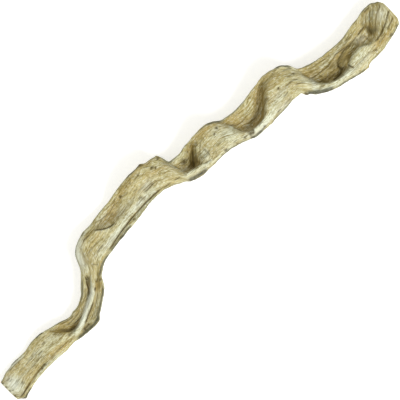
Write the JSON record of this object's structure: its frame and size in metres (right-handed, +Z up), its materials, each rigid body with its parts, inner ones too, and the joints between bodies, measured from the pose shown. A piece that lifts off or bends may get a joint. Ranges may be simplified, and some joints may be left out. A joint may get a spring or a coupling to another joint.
{
  "type": "dried liana vine stem",
  "caption": "Dried and bleached flat liana stem, bent in deep waves, with one thick rim and sawn ends; it lies on a surface as natural decor.",
  "frame": {"origin": "middle of the box round the stem, at the surface it rests on", "axes": "+X along the stem's longest extent, +Z up; the thick rim runs along the -Y side and the thin edge along the +Y side"},
  "size_m": [0.584, 0.1006, 0.0434],
  "materials": {
    "wood": "bare, dry and matt, bleached, with fine lengthwise grain"
  },
  "bodies": {
    "root": {"liana_vine": "wood"}
  },
  "joints": []
}
